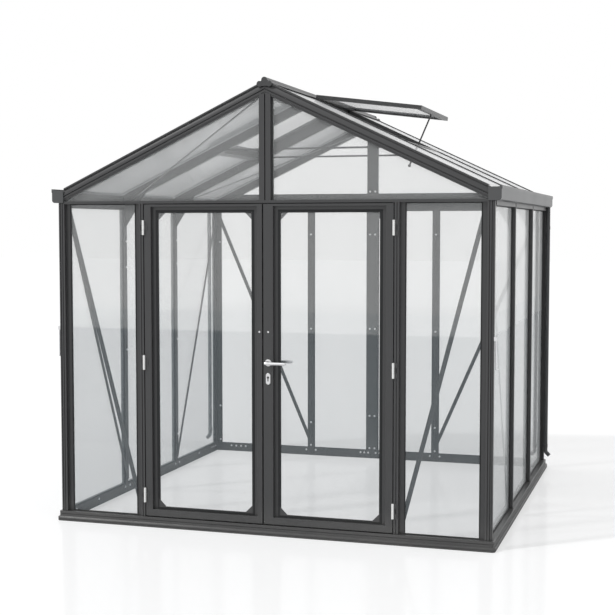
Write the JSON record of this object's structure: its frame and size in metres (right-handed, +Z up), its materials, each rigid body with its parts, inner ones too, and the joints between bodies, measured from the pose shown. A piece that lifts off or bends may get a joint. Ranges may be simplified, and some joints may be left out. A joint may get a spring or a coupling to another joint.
{
  "type": "polycarbonate greenhouse",
  "caption": "Walk-in gable greenhouse with a dark aluminium frame, clear wall panes, a translucent roof with an open vent, gutters and hinged double doors.",
  "frame": {"origin": "on the ground, in the middle of the underside of the front sill, in the plane of the front wall's face", "axes": "+X right along the front wall, +Y to the rear, +Z up"},
  "size_m": [2.7162, 2.636, 2.6182],
  "materials": {
    "frame_grey": "anthracite powder coat, satin",
    "gutter_grey": "anthracite powder coat, satin",
    "pipe_grey": "anthracite moulded plastic",
    "clear_pane": "clear, faint blue-green tint",
    "roof_sheet": "translucent twin-wall polycarbonate",
    "satin_steel": "satin",
    "hinge_white": "white enamel"
  },
  "bodies": {
    "frame": {"front_sill": "frame_grey", "rear_sill": "frame_grey", "left_sill": "frame_grey", "right_sill": "frame_grey", "corner_posts": "frame_grey", "door_jambs": "frame_grey", "side_wall_bars": "frame_grey", "rear_wall_bars": "frame_grey", "front_head_rail": "frame_grey", "side_head_rails": "frame_grey", "rear_header": "frame_grey", "front_mullion": "frame_grey", "rear_mullion": "frame_grey", "left_gutter": "gutter_grey", "right_gutter": "gutter_grey", "front_gable_rafters": "frame_grey", "rear_gable_rafters": "frame_grey", "left_rafters": "frame_grey", "right_rafters": "frame_grey", "ridge_beam": "frame_grey", "ridge_cap": "frame_grey", "eave_gussets": "frame_grey", "collar_ties": "frame_grey", "wall_braces": "frame_grey", "roof_braces": "frame_grey", "downpipes": "pipe_grey", "front_side_panes": "clear_pane", "front_gable_panes": "clear_pane", "left_wall_panes": "clear_pane", "right_wall_panes": "clear_pane", "rear_wall_panes": "clear_pane", "rear_gable_panes": "clear_pane", "left_roof_sheets": "roof_sheet", "right_roof_sheets": "roof_sheet", "left_vent_frame": "frame_grey", "left_vent_sheet": "roof_sheet", "right_vent_frame": "frame_grey", "right_vent_sheet": "roof_sheet", "vent_crossbars": "frame_grey", "vent_stays": "frame_grey", "door_holders": "satin_steel", "hinge_pins": "hinge_white"},
    "left_door": {"left_door_frame": "frame_grey", "left_door_pane": "clear_pane", "left_door_hinges": "hinge_white"},
    "right_door": {"right_door_frame": "frame_grey", "right_door_pane": "clear_pane", "right_door_hinges": "hinge_white", "right_door_lock": "satin_steel"},
    "door_lever": {"door_lever": "satin_steel"}
  },
  "joints": [
    {"name": "left_door_hinge", "type": "hinge", "parent": "frame", "child": "left_door", "pos_m": [-0.751, -0.007, 0.977], "axis": [0, 0, -1], "range_deg": [0, 165]},
    {"name": "right_door_hinge", "type": "hinge", "parent": "frame", "child": "right_door", "pos_m": [0.751, -0.007, 0.977], "axis": [0, 0, 1], "range_deg": [0, 165]},
    {"name": "lever_turn", "type": "hinge", "parent": "right_door", "child": "door_lever", "pos_m": [0.0185, 0.018, 0.998], "axis": [0, 1, 0], "range_deg": [0, 40], "stiffness_Nm_per_rad": 1, "springref_deg": -34.38}
  ]
}
